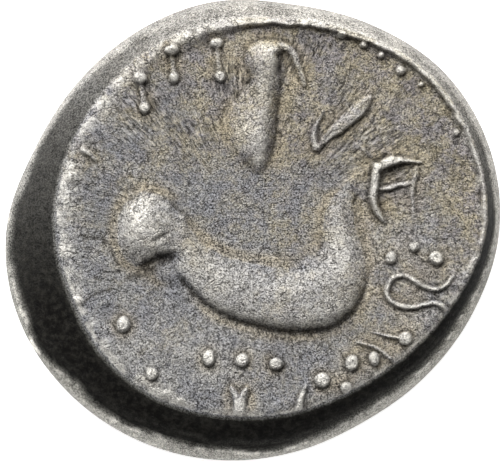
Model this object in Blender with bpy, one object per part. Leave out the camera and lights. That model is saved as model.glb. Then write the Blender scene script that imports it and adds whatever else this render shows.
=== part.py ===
# A thick, hand-struck silver tetradrachm. It lies on its domed obverse, so the horse side looks up.
# Metres, +Z up, +X to the right of the horse side. The origin is under the middle of the coin.
import math

import bmesh
import bpy
from mathutils import Matrix, Vector

MM = 0.001

# The hammered blank. Both lists hold radii in millimetres at even steps round the coin,
# counter-clockwise from +X: the widest outline, and the corner where the struck face ends.
FLAN_RADII_MM = (
    12.23, 12.46, 12.35, 11.84, 11.46, 11.59, 11.50, 11.46, 11.64,
    12.30, 12.46, 12.23, 11.90, 11.54, 11.18, 10.96, 11.20, 11.66,
)
STRUCK_RADII_MM = (
    11.62, 11.87, 11.85, 11.30, 10.79, 10.59, 10.45, 10.18, 10.03,
    9.85, 9.62, 9.68, 9.62, 9.35, 9.27, 9.35, 9.80, 10.62,
)
FLAN_SIDES = 66
STRUCK_HEIGHT = 3.70 * MM
BELLY_HEIGHT = 1.60 * MM
FIELD_DISH = 0.15 * MM
WALL_START = math.radians(45)
FIELD_RINGS = (0.30, 0.60, 0.85)
UPPER_WALL_STEPS = 4

# The flan's metal stands up in a lip where the die missed it, along the top and the right.
LIP_HEIGHT = 0.42 * MM
LIP_WIDTH = 0.50 * MM
LIP_START = math.radians(-22)
LIP_END = math.radians(152)
LIP_FADE = math.radians(38)

# The obverse is a low dome, worn flat in the middle, where the coin rests.
DOME_RISE = 1.00 * MM
WORN_RADIUS = 2.80 * MM
OBVERSE_SHARE = 0.84
OBVERSE_RINGS = (0.75, 0.50, 0.25)
LOWER_WALL_STEPS = 3

# Relief is half sunk in the face it stands on. Its root keeps it clear of a mere touch.
ROOT_DEPTH = 0.05 * MM
TRACK_STEPS = 3

# The horse side. Each track holds points of (x, y, half width) in millimetres.
HORSE_BODY = (
    (-5.25, 0.12, 1.65), (-4.05, -0.42, 1.32), (-3.15, -1.10, 1.08), (-2.25, -1.86, 1.10),
    (-1.05, -2.66, 1.32), (0.45, -3.18, 1.48), (2.10, -3.38, 1.58), (3.45, -3.03, 1.72),
    (4.20, -1.98, 1.52), (4.45, -0.88, 1.10), (4.35, 0.23, 0.82), (4.40, 1.12, 0.62),
    (4.70, 1.83, 0.45), (5.15, 2.23, 0.28),
)
HORSE_RISE = 0.80 * MM
RUMP = (-5.20, 0.05, 1.80, 1.75)
RUMP_RISE = 0.72 * MM
HEAD_STROKES = (
    ((6.35, 3.15, 0.20), (6.15, 2.62, 0.18), (6.15, 1.93, 0.18), (6.25, 1.28, 0.16), (6.50, 0.78, 0.12),
     (6.70, 0.43, 0.06)),
    ((6.20, 2.93, 0.18), (6.55, 3.28, 0.21), (7.05, 3.50, 0.21), (7.55, 3.48, 0.19), (8.00, 3.38, 0.18),
     (8.40, 3.38, 0.09)),
    ((6.40, 2.23, 0.10), (6.95, 2.30, 0.13), (7.50, 2.40, 0.13), (7.95, 2.53, 0.10)),
    ((8.15, 3.23, 0.13), (8.08, 2.53, 0.15), (8.03, 1.78, 0.13), (8.00, 0.93, 0.08)),
)
HEAD_RISE = 0.30 * MM
RIDER_BODY = (
    (0.70, 8.75, 0.95), (0.55, 7.53, 0.78), (0.45, 6.53, 0.78), (0.22, 5.53, 0.95), (0.08, 4.62, 1.02),
    (0.15, 3.78, 0.70), (0.25, 3.03, 0.25),
)
RIDER_RISE = 0.50 * MM
RIDER_ARM = (
    (0.45, 9.10, 0.28), (1.15, 9.32, 0.25), (1.75, 9.20, 0.20), (2.05, 8.83, 0.15), (2.25, 8.22, 0.12),
    (2.48, 7.43, 0.10),
)
SPEAR_HOOK = ((3.45, 6.03, 0.08), (3.10, 5.28, 0.10), (3.00, 4.62, 0.15), (3.05, 4.30, 0.17))
SPEAR_BLADE = (
    (3.20, 4.20, 0.20), (3.75, 4.83, 0.24), (4.45, 5.43, 0.40), (5.10, 6.03, 0.42), (5.60, 6.53, 0.32),
    (5.95, 6.93, 0.10),
)
SPEAR_RISE = 0.30 * MM
FORELEG = (
    (9.95, -2.27, 0.08), (9.65, -2.68, 0.10), (9.15, -2.88, 0.10), (8.60, -2.78, 0.10), (8.10, -2.48, 0.10),
    (7.60, -2.27, 0.10), (7.15, -2.33, 0.10), (6.80, -2.62, 0.10), (6.70, -3.08, 0.10), (6.90, -3.48, 0.10),
    (7.35, -3.73, 0.10), (7.95, -3.78, 0.10), (8.55, -3.68, 0.10), (9.10, -3.58, 0.10), (9.50, -3.73, 0.11),
    (9.70, -4.08, 0.11), (9.52, -4.42, 0.11),
)
FINE_LINES = (
    FORELEG,
    ((6.25, -5.15, 0.06), (6.85, -5.25, 0.08), (7.35, -5.40, 0.10)),
    ((5.15, -5.62, 0.05), (5.75, -5.75, 0.08), (6.35, -5.98, 0.08), (6.75, -6.28, 0.08), (7.10, -6.55, 0.05)),
    ((-8.60, 4.12, 0.12), (-8.25, 3.88, 0.15), (-7.90, 3.53, 0.08)),
    ((-0.65, -8.05, 0.20), (-0.65, -8.55, 0.25), (-0.65, -9.00, 0.25)),
    ((2.50, -7.68, 0.08), (2.38, -8.28, 0.12), (2.30, -8.80, 0.20)),
)
FINE_RISE = 0.14 * MM
# Round pellets: the joints of the legs, and the border.
PELLETS = (
    (-6.55, -4.67, 0.33), (-5.10, -7.12, 0.30), (-2.25, -6.38, 0.33), (-0.55, -6.48, 0.33), (1.15, -6.68, 0.30),
    (3.45, -7.48, 0.37), (4.95, -6.62, 0.36), (6.10, -6.43, 0.31), (4.65, -7.83, 0.28), (7.60, -5.38, 0.34),
    (6.95, -1.38, 0.29), (8.10, -0.83, 0.23), (9.15, -1.33, 0.34), (7.40, 8.03, 0.25), (6.40, 8.83, 0.20),
    (8.40, 7.33, 0.20), (10.20, 4.93, 0.20),
)
PELLET_RISE = 0.30 * MM
# The worn inscription: short strokes with a pellet at each end, (x, y) to (x, y). They spell nothing.
SCRIPT_STROKES = (
    ((-5.65, 7.73), (-5.45, 6.23)),
    ((-4.10, 9.05), (-4.00, 7.68)),
    ((-1.85, 9.43), (-1.65, 7.78)),
)
STROKE_HALF_WIDTH = 0.11 * MM
STROKE_PELLET = 0.29 * MM

# The obverse, drawn as seen from below: a head to the right in a wreath, in worn, low forms.
WREATH_CENTRE = (-0.70, 0.30)
WREATH_RADIUS = 6.40 * MM
WREATH_START = math.radians(38)
WREATH_END = math.radians(172)
WREATH_PAIRS = 8
LEAF_LENGTH = 0.80 * MM
LEAF_HALF_WIDTH = 0.32 * MM
LEAF_SPREAD = math.radians(24)
LEAF_ROW_GAP = 0.85 * MM
# Crescent locks fall behind the head in rows. The first row is the nearest to the ear.
LOCK_ROWS = 3
LOCKS_IN_ROW = 3
LOCK_GAP = 1.45 * MM
LOCK_ROW_RADIUS = 4.40 * MM
LOCK_START = math.radians(190)
LOCK_SPACING = 1.80 * MM
LOCK_BEND_RADIUS = 0.56 * MM
LOCK_SWEEP = math.radians(210)
LOCK_POINTS = 6
LOCK_HALF_WIDTH = 0.22 * MM
OBVERSE_RISE = 0.22 * MM
WEAR_CLEARANCE = 0.01 * MM
# The face keeps the drawing-book thirds: hairline to brow, brow to nose, nose to chin.
FACE_STROKES = (
    ((4.30, 5.20, 0.16), (4.75, 3.80, 0.20), (4.95, 2.40, 0.20), (5.60, 1.10, 0.22), (6.20, -0.20, 0.22),
     (5.55, -0.60, 0.16)),
    ((5.05, -1.35, 0.12), (5.75, -1.45, 0.16)),
    ((5.00, -1.95, 0.12), (5.60, -1.98, 0.15)),
    ((5.55, -2.90, 0.16), (5.30, -3.60, 0.20), (4.30, -4.20, 0.20), (3.10, -4.60, 0.16)),
    ((3.10, 2.35, 0.10), (3.80, 2.65, 0.13), (4.45, 2.30, 0.10)),
    ((2.70, -5.20, 0.14), (2.20, -6.60, 0.16), (0.40, -7.30, 0.16), (-1.60, -7.20, 0.14)),
)
EYE_PELLET = (3.80, 2.00, 0.26)
# The border of pellets runs along the edge, at this share of the blank's outline.
BORDER_SHARE = 0.785
BORDER_PELLET = 0.25 * MM
BORDER_START = math.radians(58)
BORDER_END = math.radians(246)
BORDER_COUNT = 21


def smooth_ring(radii_mm, angle):
    """The radius at an angle, from a smooth closed curve through the listed radii."""
    count = len(radii_mm)
    place = angle % math.tau / math.tau * count
    first = int(place)
    share = place - first
    before, here, after, beyond = (radii_mm[(first + k - 1) % count] for k in range(4))
    slope = after - before
    bend = 2 * before - 5 * here + 4 * after - beyond
    twist = 3 * (here - after) + beyond - before
    return (here + 0.5 * share * (slope + share * (bend + share * twist))) * MM


def smooth_track(track, steps):
    """Points along a smooth curve through a track of (x, y, half width), with rounded ends."""
    points = [Vector(point) * MM for point in track]
    ends = [2 * points[0] - points[1]] + points + [2 * points[-1] - points[-2]]
    smooth = []
    for k in range(len(points) - 1):
        before, here, after, beyond = ends[k : k + 4]
        for step in range(steps):
            t = step / steps
            bend = 2 * before - 5 * here + 4 * after - beyond
            twist = 3 * (here - after) + beyond - before
            smooth.append(here + 0.5 * t * ((after - before) + t * (bend + t * twist)))
    smooth.append(points[-1])
    for end, inner in ((0, 1), (-1, -2)):
        away = Vector(smooth[end][:2]) - Vector(smooth[inner][:2])
        tip = Vector(smooth[end][:2]) + away.normalized() * smooth[end][2] * 0.7
        cap = Vector((tip.x, tip.y, smooth[end][2] * 0.6))
        smooth.insert(0 if end == 0 else len(smooth), cap)
    return smooth


def lip_share(angle):
    """How much of the lip stands at an angle: 1 along the top right, fading to 0 at both ends."""
    turn = (angle - LIP_START) % math.tau
    span = LIP_END - LIP_START
    edge = min(turn, span - turn) / LIP_FADE
    share = max(0.0, min(1.0, edge))
    return share * share * (3 - 2 * share)


def horse_field(x, y):
    """Height of the horse side's dished field."""
    share = math.hypot(x, y) / smooth_ring(STRUCK_RADII_MM, math.atan2(y, x))
    return STRUCK_HEIGHT - FIELD_DISH * (1 - min(share, 1.0) ** 2)


def obverse_field(x, y):
    """Height of the obverse's dome, which is flat where it is worn."""
    rim = OBVERSE_SHARE * smooth_ring(FLAN_RADII_MM, math.atan2(y, x))
    climb = (x * x + y * y - WORN_RADIUS**2) / (rim**2 - WORN_RADIUS**2)
    return DOME_RISE * max(0.0, climb)


def flan_rings():
    """The blank's rings from the middle of the horse side, over the edge, to the worn obverse."""
    rings = []
    for share in FIELD_RINGS:
        rings.append(lambda a, share=share: (share * smooth_ring(STRUCK_RADII_MM, a), None))
    rings.append(lambda a: (smooth_ring(STRUCK_RADII_MM, a) - LIP_WIDTH, None))

    def upper_wall(a, step):
        inner = smooth_ring(STRUCK_RADII_MM, a)
        outer = smooth_ring(FLAN_RADII_MM, a)
        top = STRUCK_HEIGHT + LIP_HEIGHT * lip_share(a)
        turn = WALL_START + (math.pi / 2 - WALL_START) * step / UPPER_WALL_STEPS
        out = (math.sin(turn) - math.sin(WALL_START)) / (1 - math.sin(WALL_START))
        down = math.cos(turn) / math.cos(WALL_START)
        return inner + (outer - inner) * out, BELLY_HEIGHT + (top - BELLY_HEIGHT) * down

    for step in range(UPPER_WALL_STEPS + 1):
        rings.append(lambda a, step=step: upper_wall(a, step))

    def lower_wall(a, step):
        outer = smooth_ring(FLAN_RADII_MM, a)
        turn = math.pi / 2 * step / LOWER_WALL_STEPS
        inward = outer * (1 - OBVERSE_SHARE) * (1 - math.cos(turn))
        return outer - inward, BELLY_HEIGHT - (BELLY_HEIGHT - DOME_RISE) * math.sin(turn)

    for step in range(1, LOWER_WALL_STEPS + 1):
        rings.append(lambda a, step=step: lower_wall(a, step))

    def dome(a, share):
        rim = OBVERSE_SHARE * smooth_ring(FLAN_RADII_MM, a)
        radius = WORN_RADIUS + (rim - WORN_RADIUS) * share
        return radius, obverse_field(radius * math.cos(a), radius * math.sin(a))

    for share in (*OBVERSE_RINGS, 0.0):
        rings.append(lambda a, share=share: dome(a, share))
    return rings


def make_flan():
    """The blank, extruded ring by ring from a circle and capped at both faces."""
    bm = bmesh.new()
    bmesh.ops.create_circle(bm, cap_ends=True, segments=FLAN_SIDES, radius=1.0)
    loop = list(bm.edges)
    for number, ring in enumerate(flan_rings()):
        if number:
            made = bmesh.ops.extrude_edge_only(bm, edges=loop)["geom"]
            loop = [item for item in made if isinstance(item, bmesh.types.BMEdge)]
            corners = {corner for edge in loop for corner in edge.verts}
        else:
            corners = set(bm.verts)
        for corner in corners:
            angle = math.atan2(corner.co.y, corner.co.x)
            radius, height = ring(angle)
            x, y = radius * math.cos(angle), radius * math.sin(angle)
            corner.co = (x, y, horse_field(x, y) if height is None else height)
    bmesh.ops.contextual_create(bm, geom=loop)
    bmesh.ops.recalc_face_normals(bm, faces=bm.faces)
    return finish_mesh(bm, "coin")


def finish_mesh(bm, name):
    mesh = bpy.data.meshes.new(name)
    bm.to_mesh(mesh)
    bm.free()
    return bpy.data.objects.new(name, mesh)


def seat_on_face(mesh, rise_share, up):
    """Flattens a tube or ball drawn at height 0 and sets it, half sunk, on its face.
    On the obverse it is mirrored, turned down, and worn off flush with the resting plane."""
    for vertex in mesh.vertices:
        x, y, z = vertex.co
        if up:
            vertex.co.z = horse_field(x, y) - ROOT_DEPTH + z * rise_share
        else:
            sunk = obverse_field(-x, y) + ROOT_DEPTH - z * rise_share
            vertex.co = (-x, y, max(sunk, WEAR_CLEARANCE))


def raised_line(name, track, rise, up=True, sides=2, steps=TRACK_STEPS):
    """A ridge along a track: a tapered tube, flattened and half sunk in the face."""
    points = smooth_track(track, steps)
    curve = bpy.data.curves.new(name, "CURVE")
    curve.dimensions = "3D"
    curve.bevel_depth = 1.0
    curve.bevel_resolution = sides
    curve.use_fill_caps = True
    spline = curve.splines.new("POLY")
    spline.points.add(len(points) - 1)
    for place, point in zip(spline.points, points):
        place.co = (point.x, point.y, 0.0, 1.0)
        place.radius = point.z
    drawn = bpy.data.objects.new(name, curve)
    bpy.context.scene.collection.objects.link(drawn)
    graph = bpy.context.evaluated_depsgraph_get()
    mesh = bpy.data.meshes.new_from_object(drawn.evaluated_get(graph))
    bpy.data.objects.remove(drawn)
    bpy.data.curves.remove(curve)
    bm = bmesh.new()
    bm.from_mesh(mesh)
    bmesh.ops.remove_doubles(bm, verts=bm.verts, dist=0.0001 * MM)
    bm.to_mesh(mesh)
    bm.free()
    widest = max(point.z for point in points)
    seat_on_face(mesh, (rise + ROOT_DEPTH) / widest, up)
    return bpy.data.objects.new(name, mesh)


def boss(name, x, y, half_length, half_width, rise, turn=0.0, up=True, segments=10, rings=6):
    """A round or leaf-shaped boss: a ball stretched along its turn, flattened and half sunk."""
    bm = bmesh.new()
    bmesh.ops.create_uvsphere(bm, u_segments=segments, v_segments=rings, radius=1.0)
    bmesh.ops.scale(bm, vec=(half_length, half_width, rise + ROOT_DEPTH), verts=bm.verts)
    bmesh.ops.rotate(bm, matrix=Matrix.Rotation(turn, 3, "Z"), verts=bm.verts)
    bmesh.ops.translate(bm, vec=(x, y, 0.0), verts=bm.verts)
    made = finish_mesh(bm, name)
    seat_on_face(made.data, 1.0, up)
    return made


def horse_relief():
    """The horse: one swelling body with a round rump, a head of four strokes, and thin legs."""
    made = [raised_line("horse_body", HORSE_BODY, HORSE_RISE, sides=3)]
    x, y, half_length, half_width = (value * MM for value in RUMP)
    made.append(boss("rump", x, y, half_length, half_width, RUMP_RISE, segments=18, rings=8))
    for number, track in enumerate(HEAD_STROKES):
        made.append(raised_line(f"head_{number}", track, HEAD_RISE))
    for number, track in enumerate(FINE_LINES):
        made.append(raised_line(f"fine_line_{number}", track, FINE_RISE, sides=1))
    return made


def rider_relief():
    """The rider: a club-shaped trunk with a thin arm, and a hooked spear beside it."""
    return [
        raised_line("rider_body", RIDER_BODY, RIDER_RISE, sides=3),
        raised_line("rider_arm", RIDER_ARM, FINE_RISE * 1.5),
        raised_line("spear_hook", SPEAR_HOOK, SPEAR_RISE * 0.7),
        raised_line("spear_blade", SPEAR_BLADE, SPEAR_RISE),
    ]


def pellet_relief():
    """The pellets, and the strokes that stand where the inscription was."""
    made = []
    for number, (x, y, radius) in enumerate(PELLETS):
        rise = min(PELLET_RISE, radius * MM)
        made.append(boss(f"pellet_{number}", x * MM, y * MM, radius * MM, radius * MM, rise))
    for number, ends in enumerate(SCRIPT_STROKES):
        for end, (x, y) in enumerate(ends):
            name = f"stroke_pellet_{number}_{end}"
            made.append(boss(name, x * MM, y * MM, STROKE_PELLET, STROKE_PELLET, PELLET_RISE))
        stem = [(x, y, STROKE_HALF_WIDTH / MM) for x, y in ends]
        made.append(raised_line(f"stroke_{number}", stem, FINE_RISE))
    return made


def on_circle(centre, radius, angle):
    """A point of a circle on the obverse's drawing."""
    return centre[0] * MM + radius * math.cos(angle), centre[1] * MM + radius * math.sin(angle)


def crescent(middle, facing):
    """The track of one lock: part of a small circle, widest in its middle, in millimetres."""
    track = []
    for point in range(LOCK_POINTS):
        share = point / (LOCK_POINTS - 1)
        turn = facing + LOCK_SWEEP * (share - 0.5)
        x = middle[0] + LOCK_BEND_RADIUS * math.cos(turn)
        y = middle[1] + LOCK_BEND_RADIUS * math.sin(turn)
        width = LOCK_HALF_WIDTH * (1 - abs(share - 0.5))
        track.append((x / MM, y / MM, width / MM))
    return track


def obverse_relief():
    """The worn head on the underside: wreath leaves, locks, the face's few strokes and a border."""
    made = []
    for pair in range(WREATH_PAIRS):
        angle = WREATH_START + (WREATH_END - WREATH_START) * pair / (WREATH_PAIRS - 1)
        for side in (-1, 1):
            radius = WREATH_RADIUS + side * LEAF_ROW_GAP / 2
            x, y = on_circle(WREATH_CENTRE, radius, angle)
            turn = angle + math.pi / 2 - side * LEAF_SPREAD
            made.append(boss(f"leaf_{pair}_{side + 1}", x, y, LEAF_LENGTH, LEAF_HALF_WIDTH, OBVERSE_RISE, turn,
                             up=False, segments=8, rings=4))
    for row in range(LOCK_ROWS):
        for place in range(LOCKS_IN_ROW):
            radius = LOCK_ROW_RADIUS + row * LOCK_GAP
            angle = LOCK_START + place * LOCK_SPACING / radius
            middle = on_circle(WREATH_CENTRE, radius, angle)
            made.append(raised_line(f"lock_{row}_{place}", crescent(middle, angle), OBVERSE_RISE, up=False,
                                    sides=1, steps=1))
    for number, track in enumerate(FACE_STROKES):
        made.append(raised_line(f"face_{number}", track, OBVERSE_RISE, up=False, sides=1))
    x, y, radius = (value * MM for value in EYE_PELLET)
    made.append(boss("eye", x, y, radius, radius, OBVERSE_RISE, up=False, segments=8, rings=4))
    for number in range(BORDER_COUNT):
        angle = BORDER_START + (BORDER_END - BORDER_START) * number / (BORDER_COUNT - 1)
        outline = smooth_ring(FLAN_RADII_MM, math.pi - angle)
        x, y = on_circle((0.0, 0.0), BORDER_SHARE * outline, angle)
        made.append(boss(f"border_{number}", x, y, BORDER_PELLET, BORDER_PELLET, OBVERSE_RISE, up=False,
                         segments=8, rings=4))
    return made


def silver():
    """Old silver with a grey skin, brighter where it is rubbed."""
    material = bpy.data.materials.new("old_silver")
    material.use_nodes = True
    shader = material.node_tree.nodes["Principled BSDF"]
    shader.inputs["Base Color"].default_value = (0.42, 0.41, 0.39, 1.0)
    shader.inputs["Metallic"].default_value = 0.9
    shader.inputs["Roughness"].default_value = 0.42
    return material


def main():
    for old in list(bpy.data.objects):
        bpy.data.objects.remove(old)
    coin_set = bpy.data.collections.new("tetradrachm")
    relief_set = bpy.data.collections.new("relief")
    for made in (coin_set, relief_set):
        bpy.context.scene.collection.children.link(made)
    coin = make_flan()
    coin_set.objects.link(coin)
    reliefs = horse_relief() + rider_relief() + pellet_relief() + obverse_relief()
    for piece in reliefs:
        piece.hide_render = True
        piece.display_type = "WIRE"
        relief_set.objects.link(piece)
    relief_set.hide_render = True
    union = coin.modifiers.new("struck_relief", "BOOLEAN")
    union.operation = "UNION"
    union.solver = "EXACT"
    union.operand_type = "COLLECTION"
    union.collection = relief_set
    corners = [vertex.co for vertex in coin.data.vertices]
    middle = [(min(c[k] for c in corners) + max(c[k] for c in corners)) / 2 for k in (0, 1)]
    for placed in [coin, *reliefs]:
        placed.location = (-middle[0], -middle[1], 0.0)
    coin.data.materials.append(silver())
    coin.data.shade_smooth()
    coin.data.set_sharp_from_angle(angle=math.radians(40))


main()
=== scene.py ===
import math

import bmesh
import bpy
import numpy as np
from mathutils import Matrix, Vector


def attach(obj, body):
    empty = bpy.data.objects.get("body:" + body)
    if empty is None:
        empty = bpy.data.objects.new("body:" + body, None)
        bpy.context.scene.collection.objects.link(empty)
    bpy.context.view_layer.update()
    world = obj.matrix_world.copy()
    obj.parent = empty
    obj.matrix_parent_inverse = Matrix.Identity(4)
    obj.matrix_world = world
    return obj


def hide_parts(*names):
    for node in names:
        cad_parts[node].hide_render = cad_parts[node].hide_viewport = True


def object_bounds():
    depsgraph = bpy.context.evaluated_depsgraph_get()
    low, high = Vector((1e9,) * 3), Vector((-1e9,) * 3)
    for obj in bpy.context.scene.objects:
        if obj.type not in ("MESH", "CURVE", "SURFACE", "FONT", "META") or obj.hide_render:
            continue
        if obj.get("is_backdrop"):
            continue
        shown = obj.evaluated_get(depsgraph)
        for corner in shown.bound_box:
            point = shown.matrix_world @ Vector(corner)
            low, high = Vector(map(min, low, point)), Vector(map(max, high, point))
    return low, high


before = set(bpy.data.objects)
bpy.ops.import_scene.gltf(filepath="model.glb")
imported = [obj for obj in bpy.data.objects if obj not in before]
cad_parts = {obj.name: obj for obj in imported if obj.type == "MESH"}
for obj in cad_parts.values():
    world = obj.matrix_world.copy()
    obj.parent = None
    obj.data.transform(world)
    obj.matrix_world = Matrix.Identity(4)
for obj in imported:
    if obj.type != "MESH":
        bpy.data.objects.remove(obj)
cad_low, cad_high = (Vector(corner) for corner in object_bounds())

# The blank. A thick hammered disc of silver, cast and struck hot, so its outline is uneven.
# Its struck face ends at a sharp corner, and its wall falls from there to a rounded belly. Sizes are in
# millimetres, and a ring gives a radius every 20 degrees, from the right.
MM = 0.001
FLAN_RADII = (
    12.23, 12.46, 12.35, 11.84, 11.46, 11.59, 11.50, 11.46, 11.64,
    12.30, 12.46, 12.23, 11.90, 11.54, 11.18, 10.96, 11.20, 11.66,
)
STRUCK_RADII = (
    11.62, 11.87, 11.85, 11.30, 10.79, 10.59, 10.45, 10.18, 10.03,
    9.85, 9.62, 9.68, 9.62, 9.35, 9.27, 9.35, 9.80, 10.62,
)
STRUCK_HEIGHT = 3.70
BELLY_HEIGHT = 1.60
CORNER_CHIPS = 0.018 * np.random.default_rng(11).standard_normal(260)

# Both dies are drawn on a square sheet of heights in millimetres, one cell every 0.025 mm.
CELL = 0.025
CELLS = 1024
sheet_axis = (np.arange(CELLS) - CELLS / 2) * CELL
sheet_x, sheet_y = np.meshgrid(sheet_axis, sheet_axis)
sheet_angle = np.arctan2(sheet_y, sheet_x)
sheet_radius = np.hypot(sheet_x, sheet_y)


def smooth_ring(radii, angle):
    """The radius at each angle, on a smooth closed curve through the listed radii."""
    ring = np.asarray(radii)
    place = np.mod(angle, math.tau) / math.tau * len(ring)
    first = np.floor(place).astype(int)
    share = place - first
    before, here, after, beyond = (ring[(first + k - 1) % len(ring)] for k in range(4))
    bend = 2 * before - 5 * here + 4 * after - beyond
    twist = 3 * (here - after) + beyond - before
    return here + 0.5 * share * (after - before + share * (bend + share * twist))


def struck_edge(angle):
    """The radius of the struck face's edge, with its small chips."""
    return smooth_ring(STRUCK_RADII, angle) + smooth_ring(CORNER_CHIPS, angle)


def ease(value, start=0.0, end=1.0):
    """A smooth step from 0 at start to 1 at end."""
    share = np.clip((value - start) / (end - start), 0.0, 1.0)
    return share * share * (3 - 2 * share)


def blurred(sheet, across, along=None):
    """A sheet softened by a bell curve. Its two widths are in cells: down the rows, and along them."""
    along = across if along is None else along
    rows = np.fft.fftfreq(sheet.shape[0])[:, None]
    columns = np.fft.rfftfreq(sheet.shape[1])[None, :]
    bell = np.exp(-2 * math.pi**2 * ((rows * across) ** 2 + (columns * along) ** 2))
    return np.fft.irfft2(np.fft.rfft2(sheet) * bell, sheet.shape)


def mottle(seed, size_mm):
    """Even random swells of one size, about -2 to 2."""
    raw = np.random.default_rng(seed).standard_normal((CELLS, CELLS))
    soft = blurred(raw, size_mm / CELL / 3) - blurred(raw, size_mm / CELL)
    return soft / soft.std()


def smooth_track(track, steps=8):
    """Points along a smooth curve through a track of (x, y, half width)."""
    points = np.asarray(track, dtype=float)
    ends = np.vstack([2 * points[0] - points[1], points, 2 * points[-1] - points[-2]])
    smooth = []
    for k in range(len(points) - 1):
        before, here, after, beyond = ends[k : k + 4]
        for step in range(steps):
            t = step / steps
            bend = 2 * before - 5 * here + 4 * after - beyond
            twist = 3 * (here - after) + beyond - before
            smooth.append(here + 0.5 * t * (after - before + t * (bend + t * twist)))
    smooth.append(points[-1])
    return np.array(smooth)


ROUND = (2.6, 0.7)
SOFT = (2.0, 1.7)
STEEP = (4.5, 0.65)
CLIFF = (7.0, 0.55)
HAND_SLIP = 0.012
SLOW_SLIP = 0.020
drawn_x = sheet_x + HAND_SLIP * mottle(20, 0.5) + SLOW_SLIP * mottle(22, 2.0)
drawn_y = sheet_y + HAND_SLIP * mottle(21, 0.5) + SLOW_SLIP * mottle(23, 2.0)


def ridge(track, rise, gentle=ROUND, steep=ROUND, steep_side=(0.0, -1.0), fall=0.6):
    """A ridge along a track. Its gentle and its steep flank each have a squareness and a fullness,
    and fall is how much lower it gets where it narrows."""
    points = smooth_track(track)
    widest = points[:, 2].max()
    reach = widest + 4 * CELL
    inside = (
        (sheet_x > points[:, 0].min() - reach) & (sheet_x < points[:, 0].max() + reach)
        & (sheet_y > points[:, 1].min() - reach) & (sheet_y < points[:, 1].max() + reach)
    )
    x, y = drawn_x[inside], drawn_y[inside]
    nearest = np.full(x.shape, 9.0)
    width = np.full(x.shape, widest)
    side = np.zeros(x.shape)
    for (ax, ay, aw), (bx, by, bw) in zip(points[:-1], points[1:]):
        along_x, along_y = bx - ax, by - ay
        length = max(along_x**2 + along_y**2, 1e-9)
        share = np.clip(((x - ax) * along_x + (y - ay) * along_y) / length, 0.0, 1.0)
        away_x, away_y = x - ax - share * along_x, y - ay - share * along_y
        distance = np.hypot(away_x, away_y)
        here = np.maximum(aw + (bw - aw) * share, 0.02)
        closer = distance / here < nearest
        nearest[closer] = (distance / here)[closer]
        width[closer] = here[closer]
        facing = (away_x * steep_side[0] + away_y * steep_side[1]) / np.maximum(distance, 1e-6)
        side[closer] = facing[closer]
    share = ease(side, -0.4, 0.8)
    square = gentle[0] + (steep[0] - gentle[0]) * share
    crown = (1 - np.clip(nearest, 0.0, 1.0) ** square) ** (gentle[1] + (steep[1] - gentle[1]) * share)
    made = np.zeros((CELLS, CELLS))
    made[inside] = rise * (width / widest) ** fall * crown
    return made


def boss(x, y, half_length, half_width, rise, turn=0.0, square=2.4, fullness=0.6):
    """A round or leaf-shaped boss."""
    away_x, away_y = drawn_x - x, drawn_y - y
    along = (away_x * math.cos(turn) + away_y * math.sin(turn)) / half_length
    across = (away_y * math.cos(turn) - away_x * math.sin(turn)) / half_width
    return rise * (1 - np.clip(np.hypot(along, across), 0.0, 1.0) ** square) ** fullness


def joined(first, second, blend):
    """The higher of two sheets, with the valley between them filled over the height of blend."""
    overlap = np.maximum(blend - np.abs(first - second), 0.0) / blend
    return np.maximum(first, second) + overlap**2 * blend / 4 * (np.minimum(first, second) > 0)


# The horse side of the die: a horse to the right, in Celtic style. The body is one swelling ridge from
# the round rump to the neck, steep below and soft above. The head is four strokes with two scraps before
# it, and the legs are lines. A track lists (x, y, half width), and a boss (x, y, half length, half width).
HORSE_BODY = (
    (-5.30, 0.70, 1.05), (-4.65, 0.25, 1.10), (-3.75, -0.50, 1.06), (-2.95, -1.42, 1.10),
    (-2.25, -2.00, 1.30), (-1.05, -2.70, 1.52), (0.45, -3.10, 1.63), (2.10, -3.28, 1.74),
    (3.45, -3.00, 1.80), (4.20, -1.98, 1.60), (4.42, -0.88, 1.24), (4.32, 0.23, 0.98),
    (4.36, 1.12, 0.80), (4.58, 1.83, 0.58), (4.95, 2.50, 0.36), (5.30, 3.10, 0.14),
)
BODY_RISE = 0.56
BODY_UNDERSIDE = (5.0, 0.75)
RUMP = (-5.28, 0.00, 1.88, 2.35)
RUMP_RISE = 0.70
RUMP_JOIN = 0.60
RUMP_SHELF = (-4.15, -2.00, 1.50, 0.85)
SHELF_RISE = 0.12
SHELF_JOIN = 0.25
RUMP_HOLLOW = (
    (-6.00, -2.45, 0.16), (-5.35, -2.20, 0.48), (-4.70, -1.85, 0.62), (-4.10, -1.50, 0.40),
    (-3.60, -1.20, 0.10),
)
HOLLOW_DEPTH = 0.50
# The track below is no form: it only places painted shade under the rump, in the finish.
RUMP_SHADE_TRACK = (
    (-6.25, -2.40, 0.20), (-5.60, -2.10, 0.38), (-4.95, -1.75, 0.46), (-4.35, -1.30, 0.36),
    (-3.95, -0.95, 0.16),
)
RUMP_DENT = ((-5.05, -0.55, 0.10), (-4.75, -0.38, 0.18), (-4.30, -0.12, 0.14))
DENT_DEPTH = 0.11
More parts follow.
